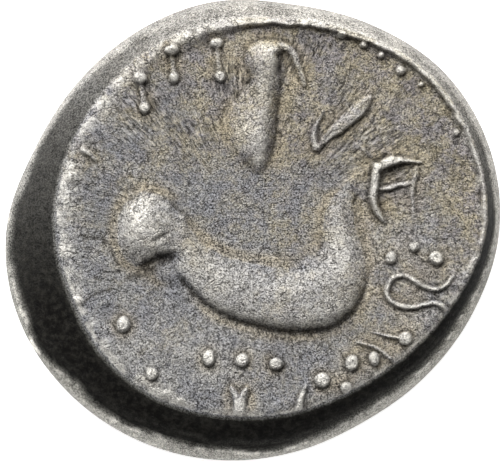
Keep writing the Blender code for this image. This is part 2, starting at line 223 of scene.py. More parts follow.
HEAD_STROKES = (
    (
        (6.18, 3.28, 0.20), (6.12, 2.78, 0.23), (6.06, 2.23, 0.22), (6.00, 1.63, 0.23), (6.10, 1.18, 0.21),
        (6.30, 0.83, 0.17), (6.62, 0.45, 0.07),
    ),
    (
        (6.20, 3.10, 0.20), (6.55, 3.36, 0.25), (6.90, 3.52, 0.27), (7.25, 3.56, 0.22), (7.60, 3.52, 0.15),
        (7.95, 3.48, 0.11), (8.35, 3.45, 0.09),
    ),
    ((6.40, 2.13, 0.12), (6.95, 2.18, 0.17), (7.45, 2.30, 0.16), (7.80, 2.38, 0.10)),
    ((8.15, 3.25, 0.10), (8.12, 2.73, 0.15), (8.02, 2.13, 0.15), (7.98, 1.48, 0.12), (8.00, 0.68, 0.07)),
    ((5.35, 4.28, 0.08), (5.60, 4.03, 0.13), (5.90, 3.73, 0.11)),
    ((6.55, 4.05, 0.07), (6.95, 3.85, 0.10), (7.20, 3.95, 0.07)),
)
HEAD_RISES = (0.33, 0.33, 0.16, 0.11, 0.12, 0.08)
HEAD_CUTS = (
    (
        (5.00, 1.38, 0.10), (5.25, 1.83, 0.12), (5.55, 1.98, 0.10), (5.80, 1.58, 0.11), (6.00, 1.03, 0.11),
        (6.35, 0.58, 0.08),
    ),
    ((8.75, 2.88, 0.07), (8.40, 2.73, 0.09), (8.20, 2.38, 0.09), (8.12, 1.78, 0.06)),
    ((6.55, 2.83, 0.20), (7.00, 2.95, 0.26), (7.60, 3.10, 0.18)),
    ((6.42, 2.00, 0.07), (6.95, 2.02, 0.10), (7.50, 2.22, 0.09)),
)
HEAD_CUT_DEPTHS = (0.13, 0.10, 0.16, 0.13)
FORELEG = (
    (9.95, -2.27, 0.10), (9.65, -2.68, 0.12), (9.15, -2.88, 0.13), (8.60, -2.78, 0.13), (8.10, -2.48, 0.13),
    (7.60, -2.27, 0.13), (7.15, -2.33, 0.13), (6.80, -2.62, 0.13), (6.70, -3.08, 0.13), (6.90, -3.48, 0.13),
    (7.35, -3.73, 0.13), (7.95, -3.78, 0.13), (8.55, -3.68, 0.12), (9.10, -3.58, 0.12), (9.50, -3.73, 0.13),
    (9.70, -4.08, 0.14), (9.50, -4.42, 0.16),
)
FORELEG_RISE = 0.20
HOOF_LINES = (
    ((6.00, -5.12, 0.06), (6.50, -5.20, 0.09), (7.35, -5.40, 0.12)),
    (
        (5.15, -5.62, 0.06), (5.75, -5.75, 0.09), (6.35, -5.98, 0.10), (6.75, -6.28, 0.10),
        (7.10, -6.60, 0.06),
    ),
    ((-8.60, 4.12, 0.12), (-8.25, 3.88, 0.16), (-7.90, 3.53, 0.08)),
)
HOOF_LINE_RISE = 0.15
HOOVES = (
    ((-1.14, -7.86, 0.11), (-0.98, -8.14, 0.19), (-0.84, -8.50, 0.24), (-0.78, -9.40, 0.30)),
    ((-0.34, -7.90, 0.11), (-0.50, -8.16, 0.19), (-0.64, -8.50, 0.24), (-0.70, -9.40, 0.30)),
    ((-0.76, -8.42, 0.24), (-0.74, -8.80, 0.30), (-0.74, -9.40, 0.36)),
    ((2.62, -7.75, 0.09), (2.45, -8.10, 0.13), (2.32, -8.50, 0.18), (2.25, -9.10, 0.26)),
)
HOOF_RISE = 0.20

horse = ridge(HORSE_BODY, BODY_RISE, gentle=SOFT, steep=BODY_UNDERSIDE, steep_side=(-0.05, -1.0), fall=1.1)
horse = joined(horse, boss(*RUMP, RUMP_RISE, square=2.1, fullness=2.0), RUMP_JOIN)
hollow_cut = ridge(RUMP_HOLLOW, HOLLOW_DEPTH, gentle=SOFT, steep=STEEP, steep_side=(-0.4, 0.9), fall=1.2)
horse -= blurred(hollow_cut, 5)
shelf = boss(*RUMP_SHELF, SHELF_RISE, turn=0.15, square=2.0, fullness=1.4)
horse = joined(np.maximum(horse, 0.0), shelf, SHELF_JOIN)
horse -= ridge(RUMP_DENT, DENT_DEPTH, gentle=SOFT, steep=SOFT)
horse = blurred(horse, 2.6)

fine_forms = ridge(FORELEG, FORELEG_RISE, steep=CLIFF, steep_side=(0.5, -0.8))
for track, rise in zip(HEAD_STROKES, HEAD_RISES):
    stroke = ridge(track, rise, gentle=ROUND, steep=CLIFF, steep_side=(0.85, -0.5))
    fine_forms = np.maximum(fine_forms, stroke)
for track in HOOF_LINES:
    fine_forms = np.maximum(fine_forms, ridge(track, HOOF_LINE_RISE))
for track in HOOVES:
    fine_forms = np.maximum(fine_forms, ridge(track, HOOF_RISE, fall=0.3))
cuts = np.zeros((CELLS, CELLS))
for track, depth in zip(HEAD_CUTS, HEAD_CUT_DEPTHS):
    cuts = np.maximum(cuts, ridge(track, depth, gentle=SOFT, steep=SOFT))

# The rider and the spear, cut into the same die. The rider is a club-shaped trunk with a thin arm over
# a hollow, steep on the right and running out softly on the left; the spear is a hook with a blade.
RIDER_BODY = (
    (0.60, 8.62, 1.02), (0.58, 7.53, 0.84), (0.46, 6.53, 0.82), (0.28, 5.53, 0.92), (0.12, 4.62, 0.94),
    (0.15, 3.78, 0.66), (0.25, 3.03, 0.22),
)
RIDER_RISE = 0.48
RIDER_RIGHT = (2.6, 1.2)
RIDER_TOP = (0.62, 8.70, 1.10, 0.95)
RIDER_TOP_RISE = 0.36
RIDER_TOP_JOIN = 0.30
# The track below is no form: it only places painted shade down the rider's right side, in the finish.
RIDER_SHADE_TRACK = (
    (1.35, 8.60, 0.25), (1.10, 7.60, 0.34), (0.98, 6.40, 0.34), (0.95, 5.20, 0.34), (0.72, 4.10, 0.22),
)
RIDER_RUN_OUT = ((-0.10, 7.00, 0.50), (-0.35, 6.00, 0.90), (-0.55, 5.00, 1.05), (-0.25, 4.00, 0.60))
RUN_OUT_RISE = 0.25
RUN_OUT_JOIN = 0.20
RIDER_ARM = (
    (0.75, 9.30, 0.30), (1.25, 9.32, 0.24), (1.75, 9.20, 0.20), (2.05, 8.83, 0.18), (2.25, 8.22, 0.16),
    (2.50, 7.33, 0.14),
)
ARM_RISE = 0.21
ARM_HOLLOW = ((1.30, 8.85, 0.26), (1.55, 8.60, 0.38), (1.45, 8.05, 0.26))
ARM_HOLLOW_DEPTH = 0.30
SPEAR_HOOK = ((3.45, 6.03, 0.09), (3.12, 5.28, 0.12), (3.00, 4.62, 0.16), (3.12, 4.22, 0.24))
HOOK_RISE = 0.19
SPEAR_BLADE = (
    (3.16, 4.18, 0.22), (3.50, 4.55, 0.20), (3.90, 4.95, 0.30), (4.45, 5.43, 0.42), (5.10, 6.03, 0.44),
    (5.60, 6.53, 0.33), (5.95, 6.93, 0.10),
)
BLADE_RISE = 0.20
rider = ridge(RIDER_BODY, RIDER_RISE, gentle=SOFT, steep=RIDER_RIGHT, steep_side=(1.0, 0.1), fall=0.9)
rider = joined(rider, boss(*RIDER_TOP, RIDER_TOP_RISE, square=3.0, fullness=0.9), RIDER_TOP_JOIN)
rider = joined(rider, ridge(RIDER_RUN_OUT, RUN_OUT_RISE, gentle=SOFT, steep=SOFT), RUN_OUT_JOIN)
rider -= ridge(ARM_HOLLOW, ARM_HOLLOW_DEPTH)
rider = blurred(rider, 3.4)
arm = ridge(RIDER_ARM, ARM_RISE, steep=CLIFF, steep_side=(0.9, -0.4))
hook = ridge(SPEAR_HOOK, HOOK_RISE, steep=CLIFF, steep_side=(0.3, -0.9))
blade = ridge(SPEAR_BLADE, BLADE_RISE, gentle=SOFT, steep=CLIFF, steep_side=(0.7, -0.7))
for form in (arm, hook, blade):
    fine_forms = np.maximum(fine_forms, form)

# The pellets that stand for joints and border, and the short strokes where the inscription was. Each
# was one punch into the die, so they are round, steep and full, and are rubbed bright on top.
PELLETS = (
    (-6.55, -4.67, 0.33, 0.43), (-5.10, -7.12, 0.31, 0.33), (-2.25, -6.38, 0.32, 0.40),
    (-0.55, -6.48, 0.34, 0.35), (1.15, -6.68, 0.34, 0.32), (3.45, -7.48, 0.39, 0.37),
    (4.95, -6.62, 0.37, 0.37), (6.10, -6.43, 0.28, 0.36), (4.65, -7.83, 0.28, 0.28),
    (7.60, -5.38, 0.35, 0.35), (6.95, -1.38, 0.28, 0.31), (8.10, -0.83, 0.26, 0.25),
    (9.15, -1.33, 0.35, 0.36), (7.40, 8.03, 0.27, 0.25), (6.40, 8.83, 0.18, 0.18),
    (8.40, 7.33, 0.16, 0.12), (10.20, 4.93, 0.17, 0.16), (4.45, 9.85, 0.24, 0.18),
    (5.50, 9.35, 0.20, 0.16),
)
SCRIPT_STROKES = (
    ((-5.65, 7.73), (-5.45, 6.23)),
    ((-4.10, 9.05), (-4.00, 7.68)),
    ((-1.85, 9.43), (-1.65, 7.78)),
)
PELLET_RISE = 0.24
PELLET_FLATNESS = 6.5
STROKE_TOP = (0.36, 0.27)
STROKE_FOOT = (0.27, 0.30)
FOOT_RISE = 0.20
STEM_HALF_WIDTH = 0.14
STEM_SPREAD = 1.2
STEM_RISE = 0.13
pellets = np.zeros((CELLS, CELLS))
for pellet in PELLETS:
    pellets = np.maximum(pellets, boss(*pellet, PELLET_RISE, square=PELLET_FLATNESS))
for top, foot in SCRIPT_STROKES:
    pellets = np.maximum(pellets, boss(*top, *STROKE_TOP, PELLET_RISE, square=PELLET_FLATNESS))
    pellets = np.maximum(pellets, boss(*foot, *STROKE_FOOT, FOOT_RISE, square=PELLET_FLATNESS))
    stem = ((*top, STEM_HALF_WIDTH), (*foot, STEM_HALF_WIDTH * STEM_SPREAD))
    fine_forms = np.maximum(fine_forms, ridge(stem, STEM_RISE))
fine_forms = blurred(np.maximum(fine_forms, pellets), 1.1)

# The struck face as a whole: the dished field, the lip that the die's edge left standing along the top
# and the right, and what hot metal does as it flows outwards: fine radial folds, swells and small nicks.
FIELD_DISH = 0.15
LIP_HEIGHT = 0.36
LIP_WIDTH = 0.30
LIP_TOP_WIDTH = 0.08
LIP_WAVER = 0.02
LIP_STEP = 0.18
LIP_START = math.radians(-22)
LIP_END = math.radians(136)
LIP_FADE = math.radians(36)
LIP_BROAD = math.radians(100)
LIP_LOW = math.radians(132)
LIP_RUN_OUT = 0.75
LIP_DIP = 0.24
SWELL_RISE = 0.010
RIPPLE_RISE = 0.005
FLOW_LINES = 1400
FLOW_STEPS = 128
FLOW_STEPS_PER_MM = 9
FLOW_RISE = 0.010
RIDER_JOIN = 0.05
FINE_JOIN = 0.02
EDGE_WEAR = 0.10
EDGE_ROUND = 0.20
NICK_FLATNESS = 0.7
EDGE_NICKS = (
    (-8.85, -3.50, 0.34, 0.10), (-4.45, -8.15, 0.42, 0.07), (-3.65, -8.50, 0.30, 0.06),
    (-9.05, 2.70, 0.45, 0.08),
)
CRACK_DEPTH = 0.05
CRACKS = (
    ((-8.80, -0.15, 0.05), (-8.10, -0.32, 0.07), (-7.50, -0.45, 0.07), (-6.95, -1.15, 0.05)),
    ((-8.20, 4.42, 0.05), (-7.55, 4.52, 0.05)),
    ((-8.45, -3.45, 0.08), (-7.65, -3.02, 0.08), (-7.05, -2.85, 0.05)),
    ((-7.65, -0.10, 0.05), (-7.20, -0.70, 0.07), (-6.90, -1.50, 0.07), (-6.55, -1.85, 0.05)),
    ((-6.60, -1.95, 0.05), (-7.30, -2.10, 0.07), (-7.80, -1.90, 0.05)),
    ((4.10, 3.85, 0.05), (4.45, 4.30, 0.07), (4.95, 4.70, 0.05)),
    ((5.05, 3.35, 0.05), (5.20, 3.75, 0.06), (5.05, 4.10, 0.05)),
    ((3.60, 4.70, 0.05), (4.05, 5.05, 0.06), (4.60, 5.10, 0.05)),
)
edge_gap = struck_edge(sheet_angle) - sheet_radius
lip_turn = np.mod(sheet_angle - LIP_START, math.tau)
lip_share = ease(np.minimum(lip_turn, LIP_END - LIP_START - lip_turn) / LIP_FADE)
lip_share *= 1 - LIP_DIP * ease(np.cos(sheet_angle - LIP_BROAD), 0.70, 0.95)
lip_width = LIP_WIDTH + LIP_TOP_WIDTH * ease(np.cos(sheet_angle - LIP_BROAD), 0.2, 0.9)
lip_width += LIP_WAVER * mottle(12, 0.9)
lip_step = LIP_STEP + LIP_RUN_OUT * ease(np.cos(sheet_angle - LIP_LOW), 0.68, 0.99)
lip = LIP_HEIGHT * lip_share * ease(lip_width + lip_step - LIP_STEP - edge_gap, 0.0, lip_step)
raw_flow = np.random.default_rng(7).standard_normal((FLOW_LINES, FLOW_STEPS))
raw_flow = blurred(raw_flow, 1.1, 7.0)
flow_row = (np.mod(sheet_angle, math.tau) / math.tau * FLOW_LINES).astype(int) % FLOW_LINES
flow_column = sheet_radius * FLOW_STEPS_PER_MM + 1.5 * mottle(8, 2.5)
flow_column = np.clip(flow_column, 0, FLOW_STEPS - 1).astype(int)
flow = blurred(raw_flow[flow_row, flow_column] / raw_flow.std(), 1.0)
flow *= ease(sheet_radius, 3.5, 8.0) * ease(mottle(9, 3.0), -0.8, 1.2)

relief = joined(joined(horse, rider, RIDER_JOIN), fine_forms, FINE_JOIN)
cracks = np.zeros((CELLS, CELLS))
for track in CRACKS:
    cracks = np.maximum(cracks, ridge(track, CRACK_DEPTH))
cuts = np.maximum(cuts, cracks)
relief += SWELL_RISE * mottle(1, 1.2) + RIPPLE_RISE * mottle(2, 0.45) - cuts
field = STRUCK_HEIGHT - FIELD_DISH * (1 - np.clip(sheet_radius / (sheet_radius + edge_gap), 0.0, 1.0) ** 2)
for x, y, size, rise in EDGE_NICKS:
    relief = np.maximum(relief, boss(x, y, size, size * NICK_FLATNESS, rise, square=1.6))
edge_fall = EDGE_WEAR * np.exp(-((edge_gap / EDGE_ROUND) ** 2))
horse_side = field + relief + lip + FLOW_RISE * flow - edge_fall

# The obverse, drawn as seen from below. A head to the right in a laurel wreath, with rows of crescent
# locks and a border of pellets, all in low forms, and its middle worn flat by what it has lain on.
DOME_RISE = 1.00
OBVERSE_SHARE = 0.84
WORN_RADIUS = 2.80
WREATH_CENTRE = (-0.70, 0.30)
WREATH_RADIUS = 6.40
WREATH_START = math.radians(38)
WREATH_END = math.radians(172)
WREATH_PAIRS = 8
LEAF = (0.80, 0.32)
LEAF_SPREAD = math.radians(24)
LEAF_ROW_GAP = 0.85
LOCK_ROWS = 3
LOCKS_IN_ROW = 3
LOCK_GAP = 1.45
LOCK_ROW_RADIUS = 4.40
LOCK_START = math.radians(190)
LOCK_SPACING = 1.80
LOCK_BEND_RADIUS = 0.56
LOCK_SWEEP = math.radians(210)
LOCK_HALF_WIDTH = 0.24
LOCK_POINTS = 6
OBVERSE_RISE = 0.22
FACE_STROKES = (
    (
        (4.30, 5.20, 0.16), (4.75, 3.80, 0.20), (4.95, 2.40, 0.20), (5.60, 1.10, 0.22), (6.20, -0.20, 0.22),
        (5.55, -0.60, 0.16),
    ),
    ((5.05, -1.35, 0.12), (5.75, -1.45, 0.16)),
    ((5.00, -1.95, 0.12), (5.60, -1.98, 0.15)),
    ((5.55, -2.90, 0.16), (5.30, -3.60, 0.20), (4.30, -4.20, 0.20), (3.10, -4.60, 0.16)),
    ((3.10, 2.35, 0.10), (3.80, 2.65, 0.13), (4.45, 2.30, 0.10)),
    ((2.70, -5.20, 0.14), (2.20, -6.60, 0.16), (0.40, -7.30, 0.16), (-1.60, -7.20, 0.14)),
)
EYE_PELLET = (3.80, 2.00, 0.28, 0.28)
WORN_FADE = 0.6
UNDER_RIPPLE = 0.006
UNDER_CLEAR = 0.01
BORDER_SHARE = 0.785
BORDER_PELLET = 0.27
BORDER_START = math.radians(58)
BORDER_END = math.radians(246)
BORDER_COUNT = 21


def on_circle(centre, radius, angle):
    """The place at an angle on a circle."""
    return centre[0] + radius * math.cos(angle), centre[1] + radius * math.sin(angle)


head = np.zeros((CELLS, CELLS))
for angle in np.linspace(WREATH_START, WREATH_END, WREATH_PAIRS):
    for side in (-1, 1):
        x, y = on_circle(WREATH_CENTRE, WREATH_RADIUS + side * LEAF_ROW_GAP / 2, angle)
        leaf = boss(x, y, *LEAF, OBVERSE_RISE, angle + math.pi / 2 - side * LEAF_SPREAD)
        head = np.maximum(head, leaf)
for row in range(LOCK_ROWS):
    radius = LOCK_ROW_RADIUS + row * LOCK_GAP
    for place in range(LOCKS_IN_ROW):
        angle = LOCK_START + place * LOCK_SPACING / radius
        middle = on_circle(WREATH_CENTRE, radius, angle)
        lock = []
        for share in np.linspace(0.0, 1.0, LOCK_POINTS):
            x, y = on_circle(middle, LOCK_BEND_RADIUS, angle + LOCK_SWEEP * (share - 0.5))
            lock.append((x, y, LOCK_HALF_WIDTH * (1 - abs(share - 0.5))))
        head = np.maximum(head, ridge(lock, OBVERSE_RISE))
for track in FACE_STROKES:
    head = np.maximum(head, ridge(track, OBVERSE_RISE))
head = np.maximum(head, boss(*EYE_PELLET, OBVERSE_RISE))
for angle in np.linspace(BORDER_START, BORDER_END, BORDER_COUNT):
    radius = BORDER_SHARE * smooth_ring(FLAN_RADII, math.pi - angle)
    x, y = on_circle((0.0, 0.0), radius, angle)
    head = np.maximum(head, boss(x, y, BORDER_PELLET, BORDER_PELLET, OBVERSE_RISE))
head = blurred(head, 2.0)[:, ::-1]
head = np.roll(head, 1, axis=1)
dome_edge = OBVERSE_SHARE * smooth_ring(FLAN_RADII, sheet_angle)
climb = (sheet_radius**2 - WORN_RADIUS**2) / (dome_edge**2 - WORN_RADIUS**2)
dome = DOME_RISE * np.maximum(climb, 0.0)
worn = ease(sheet_radius, WORN_RADIUS, WORN_RADIUS + WORN_FADE)
obverse_side = np.maximum(dome - head + worn * UNDER_RIPPLE * mottle(3, 1.0), worn * UNDER_CLEAR)

# The striking: one skin of silver from the middle of the horse side, over the lip, down the wall to the
# belly, and under to the worn spot. It starts as two square grids, whose squares become the coin's rings.
WALL_START = math.radians(45)
TOP_CELLS = 192
UNDER_CELLS = 96
DIE_SCALE = 0.988
FACE_SHARE = 0.80
LEDGE = (
    0.51, 0.45, 0.45, 0.50, 0.50, 0.50, 0.60, 0.75, 0.84,
    0.88, 0.86, 0.80, 0.74, 0.68, 0.79, 0.68, 0.65, 0.59,
)
LEDGE_RISE = 0.05
LEDGE_TURN = 0.04
DOME_SHARE = 0.86
FINE_SHARE = 0.38
FINE_DETAIL = 0.010
FINE_SHARE_MAX = 0.985
SEAM_GAP = 0.0005


def read_sheet(sheet, x, y):
    """The values of a sheet at places in millimetres, blended between its cells."""
    column = np.clip(x / CELL + CELLS / 2, 0, CELLS - 1.001)
    row = np.clip(y / CELL + CELLS / 2, 0, CELLS - 1.001)
    c, r = column.astype(int), row.astype(int)
    u, v = column - c, row - r
    low = sheet[r, c] * (1 - u) + sheet[r, c + 1] * u
    high = sheet[r + 1, c] * (1 - u) + sheet[r + 1, c + 1] * u
    return low * (1 - v) + high * v


def grid_side(target, cells, height):
    """One grid of the skin, flat at its own height."""
    placed = Matrix.Translation((0.0, 0.0, height))
    bmesh.ops.create_grid(target, x_segments=cells, y_segments=cells, size=1.0, matrix=placed)


def polar(u, v):
    """The ring, 0 to 1, and the angle that a place on the square grid stands for."""
    ring = np.maximum(np.abs(u), np.abs(v))
    flat = np.abs(u) >= np.abs(v)
    longer = np.where(flat, u, v)
    share = np.where(flat, v, u) / np.where(longer == 0, 1.0, longer)
    angle = np.where(flat, share * math.pi / 4, math.pi / 2 - share * math.pi / 4)
    return ring, angle + np.where(longer < 0, math.pi, 0.0)


def on_skin(u, v, top):
    """Where places on the two grids lie on the coin, in millimetres, and how far down the wall."""
    ring, angle = polar(u, v)
    outer = smooth_ring(FLAN_RADII, angle)
    inner = struck_edge(angle) * DIE_SCALE
    face = ring / FACE_SHARE
    down = np.clip((ring - FACE_SHARE) / (1 - FACE_SHARE), 0.0, 1.0)
    turn = WALL_START + (math.pi / 2 - WALL_START) * down
    out = (np.sin(turn) - math.sin(WALL_START)) / (1 - math.sin(WALL_START))
    fold = smooth_ring(LEDGE, angle)
    bulge = ease(out, fold - LEDGE_TURN, fold + LEDGE_TURN) * (1 - ease(out, fold + LEDGE_TURN, 1.0))
    bulge *= LEDGE_RISE
    top_radius = np.where(face < 1, face * inner, inner + (outer - inner) * out + bulge)
    x, y = top_radius * np.cos(angle), top_radius * np.sin(angle)
    struck = read_sheet(horse_side, x / DIE_SCALE, y / DIE_SCALE)
    corner_radius = inner / DIE_SCALE
    corner = read_sheet(smooth_side, corner_radius * np.cos(angle), corner_radius * np.sin(angle))
    wall = BELLY_HEIGHT + (corner - BELLY_HEIGHT) * np.cos(turn) / math.cos(WALL_START)
    top_height = np.where(face < 1, struck, wall)
    edge = OBVERSE_SHARE * outer
    round_turn = np.clip((1 - ring) / (1 - DOME_SHARE), 0.0, 1.0) * math.pi / 2
    round_radius = outer - (outer - edge) * (1 - np.cos(round_turn))
    dome_radius = np.where(ring < DOME_SHARE, ring / DOME_SHARE * edge, round_radius)
    under = read_sheet(obverse_side, dome_radius * np.cos(angle), dome_radius * np.sin(angle))
    rounded = BELLY_HEIGHT - (BELLY_HEIGHT - DOME_RISE) * np.sin(round_turn)
    under_height = np.where(ring < DOME_SHARE, under, rounded)
    radius = np.where(top, top_radius, dome_radius)
    height = np.where(top, top_height, under_height)
    spots = np.stack([radius * np.cos(angle), radius * np.sin(angle), height], axis=1)
    return spots, np.where(top, out, 1.0)


def flat_places(target):
    """Where the corners of both grids are before they are placed, and which grid each is on."""
    places = np.array([vertex.co for vertex in target.verts])
    return places[:, 0], places[:, 1], places[:, 2] > 0


def refine(target, detail_sheet, top, limit):
    """Cuts each face in four where a sheet says that the metal has fine detail."""
    u, v, on_top = flat_places(target)
    places, down = on_skin(u, v, on_top)
    ring = np.maximum(np.abs(u), np.abs(v))
    busy = read_sheet(detail_sheet, places[:, 0], places[:, 1]) > limit
    busy &= (on_top == top) & (ring < FINE_SHARE_MAX)
    target.verts.index_update()
    busy_faces = [face for face in target.faces if any(busy[corner.index] for corner in face.verts)]
    edges = {
        edge for face in busy_faces for edge in face.edges
        if max(ring[corner.index] for corner in edge.verts) < FINE_SHARE_MAX
    }
    bmesh.ops.subdivide_edges(target, edges=list(edges), cuts=1, use_grid_fill=True)


smooth_side = field + lip - edge_fall
skin = bmesh.new()
grid_side(skin, TOP_CELLS, 1.0)
grid_side(skin, UNDER_CELLS, -1.0)
under_rim = [edge for edge in skin.edges if edge.is_boundary and edge.verts[0].co.z < 0]
bmesh.ops.subdivide_edges(skin, edges=under_rim, cuts=1)
bmesh.ops.reverse_faces(skin, faces=[face for face in skin.faces if face.verts[0].co.z < 0])
top_detail = blurred(np.abs(horse_side - blurred(horse_side, 8)), 3)
top_detail *= (edge_gap > -0.1)
refine(skin, top_detail, True, np.quantile(top_detail[edge_gap > 0], 1 - FINE_SHARE))
refine(skin, blurred(np.abs(head - blurred(head, 8)), 3), False, FINE_DETAIL)
u, v, on_top = flat_places(skin)
places, down = on_skin(u, v, on_top)
for vertex, place in zip(skin.verts, places):
    vertex.co = place

# What handling has done to the skin, with painted light and shade among it, kept on its corners for the
# finish: where it is rubbed bright, with painted highlights on the rump, the crest and the wall's fold and
# crease and a painted reflection of the white ground on the lower wall; where dirt stays in the hollows,
# with painted shade at the forms' feet, in the head's cuts, on slopes that face down the picture, down the
# rider's right side and under the rump; where stains tint the field around the forms; and where the wall
# is black, partly patina and partly painted shade on the sides turned from the key light. The black ends on
# the wall at a creased ledge. Each ring gives a value every 20 degrees, from the right, and each spot of
# wear or painted light is (x, y, half length, half width, amount).
# How black the wall is, ring by ring: partly patina and partly painted shade on the sides turned from the
# key light, so the lit top stays grey.
WALL_BLACK = (
    1.00, 0.68, 0.30, 0.08, 0.06, 0.10, 0.44, 0.64, 0.84,
    0.92, 1.00, 1.00, 1.00, 1.00, 1.00, 1.00, 1.00, 1.00,
)
LEDGE_SOFTNESS = 0.12
LEDGE_BLEND = 0.14
LEDGE_BLENDED = math.radians(318)
LEDGE_SWELL = 0.022
LEDGE_RIPPLE = 0.005
# Painted highlights in the black band: a wavy light line along its fold, and light flecks along the crease
# below the ledge.
FOLD_LIGHT = (0.1, 0.0, 0.0, 0.0, 0.0, 0.0, 0.0, 0.0, 0.0, 0.0, 0.1, 0.2, 0.4, 0.8, 1.0, 1.0, 0.8, 0.3)
FOLD_LIFT = 0.15
FOLD_WIDTH = 0.05
FOLD_LIGHTENING = 0.14
CREASE_DROP = 0.05
CREASE_WIDTH = 0.03
CREASE_GLINT = 2.2
# The wall is lightened below the ledge as rubbed metal; the extra towards the bottom is a painted reflection
# of the white ground.
WALL_RUB = 0.15
LOWER_WALL_RUB_AND_REFLECTION = 0.29
UPPER_WALL_RUB = 0.36
RIGHT_WALL_RUB = 0.18
RIGHT_WALL = math.radians(66)
# The crest's band of rub, ring by ring: wear, made brighter where the key light misses the crest and duller
# where it lights it, a painted highlight.
BORDER_WEAR_AND_SHEEN = (
    0.30, 0.32, 0.34, 0.36, 0.38, 0.44, 0.60, 0.62, 0.60,
    0.66, 0.60, 0.42, 0.42, 0.28, 0.20, 0.18, 0.18, 0.28,
)
BORDER_RUB_AND_SHEEN = 1.05
CREST_DULL = 0.55
CREST_DULLEST = math.radians(82)
LIP_SHARE_RUBBED = 0.7
FLANK_RUB = 0.25
PROUD_RUB = 0.65
FORM_RUB = 0.30
LIP_RUB = 0.29
PELLET_RUB = 0.44
# The dark amounts below: in the hollows, at the feet of the forms and in the cuts they are partly dirt and
# partly painted shade; the flow lines are dirt; the lee, the rider's side and the rump's underside take
# painted shade only.
HOLLOW_DIRT_AND_SHADE = 0.8
FOOT_DIRT_AND_SHADE = 0.50
FLOW_DIRT = 0.4
CUT_DIRT_AND_SHADE = 0.6
LEE_SHADE = 0.40
RIDER_SIDE_SHADE = 0.38
RUMP_UNDERSIDE_SHADE = 1.20
# Most spots are wear. The one on the rump's left is partly a painted highlight on its lit side, and the one
# under the top lip is painted light that lifts the lip's shadow off the field.
WEAR_AND_LIGHT_SPOTS = (
    (-5.90, 0.20, 1.25, 1.40, 0.45), (0.25, 4.30, 0.50, 1.10, 0.40), (0.62, 7.90, 0.50, 1.40, 0.19),
    (-0.50, 5.10, 0.60, 1.50, 0.20), (-1.10, 9.40, 2.20, 0.80, 0.16), (7.20, 6.40, 2.60, 2.40, 0.10),
    (4.35, -0.90, 0.60, 1.50, 0.33), (-4.00, -5.60, 5.00, 2.60, 0.20), (8.00, -1.00, 3.50, 5.00, 0.13),
    (-8.85, -3.50, 0.36, 0.30, 1.00), (-4.45, -8.15, 0.50, 0.26, 1.00), (-3.65, -8.55, 0.36, 0.22, 0.90),
    (-0.72, -8.85, 0.45, 0.55, 0.55), (2.30, -8.75, 0.25, 0.45, 0.45), (9.55, -4.30, 0.35, 0.30, 0.60),
)
struck_relief = relief + LIP_SHARE_RUBBED * lip
hollow = blurred(struck_relief, 6) - struck_relief
form_mask = ease(relief, 0.04, 0.09)
border_wear_and_sheen = smooth_ring(BORDER_WEAR_AND_SHEEN, sheet_angle)
proud = ease(relief, 0.09, 0.22)
rubbed_and_sheen_sheet = ease(-hollow, 0.004, 0.05) * (FLANK_RUB + PROUD_RUB * proud)
rubbed_and_sheen_sheet += FORM_RUB * ease(relief, 0.06, 0.40) + LIP_RUB * ease(lip, 0.08, 0.26)
rubbed_and_sheen_sheet += PELLET_RUB * ease(pellets, 0.12, 0.22)
# The crest's rub: wear, with a painted highlight where the key light misses the crest.
border_rub_and_sheen = BORDER_RUB_AND_SHEEN * (1 - CREST_DULL * ease(np.cos(sheet_angle - CREST_DULLEST), 0.5, 0.95))
rubbed_and_sheen_sheet += border_rub_and_sheen * np.exp(-((edge_gap / border_wear_and_sheen) ** 2)) * ease(mottle(13, 0.5), -1.6, 0.6)
# Spots of wear, with a painted highlight on the rump and painted light under the top lip.
for x, y, half_length, half_width, amount in WEAR_AND_LIGHT_SPOTS:
    rubbed_and_sheen_sheet += boss(x, y, half_length, half_width, amount, square=2.0, fullness=1.0)
# Dark at the feet of the forms, in the hollows and in the head's cuts is partly dirt and partly painted
# shade; the flow lines and cracks are dirt.
dirt_and_shade_sheet = HOLLOW_DIRT_AND_SHADE * ease(hollow, 0.006, 0.040)
dirt_and_shade_sheet += FOOT_DIRT_AND_SHADE * ease(blurred(relief, 14) - relief, 0.02, 0.12)
dirt_and_shade_sheet += FLOW_DIRT * ease(-flow, 0.9, 2.2)
dirt_and_shade_sheet += ease(cracks, 0.005, 0.03) + CUT_DIRT_AND_SHADE * ease(cuts, 0.04, 0.12)
# Painted shade: slopes that face down the picture, away from the key light, are darkened in specks.
shade_specks = mottle(24, 0.25)
lee = ease(np.gradient(blurred(relief, 4), CELL, axis=0), 0.12, 0.70) * ease(shade_specks, -1.4, 1.0)
dirt_and_shade_sheet += LEE_SHADE * lee
# Painted shade down the rider's right side and under the rump, in specks.
for track, amount in ((RIDER_SHADE_TRACK, RIDER_SIDE_SHADE), (RUMP_SHADE_TRACK, RUMP_UNDERSIDE_SHADE)):
    fold_shade = ridge(track, amount, gentle=SOFT, steep=SOFT)
    dirt_and_shade_sheet += fold_shade * (0.5 + 0.5 * ease(shade_specks, -1.8, 0.8))
halo_sheet = ease(blurred(form_mask, 18), 0.005, 0.22) * (1 - 0.8 * form_mask)
halo_sheet *= ease(mottle(14, 1.6), -1.8, 0.2)
cracked_sheet = ease(sheet_radius, 2.5, 6.5) * ease(mottle(9, 2.0), -2.0, 1.2) * (1 - form_mask)
cracked_sheet *= ease(edge_gap, 0.4, 1.2) * (0.3 + 0.7 * ease(sheet_y, -2.0, 5.0))
obverse_hollow = blurred(head, 6) - head
rubbed_under = ease(-obverse_hollow, 0.004, 0.05) + 0.6 * (1 - worn)
grimy_under = ease(obverse_hollow, 0.004, 0.045)
x, y = places[:, 0], places[:, 1]
turn = np.arctan2(y, x)
wall_black = smooth_ring(WALL_BLACK, turn)
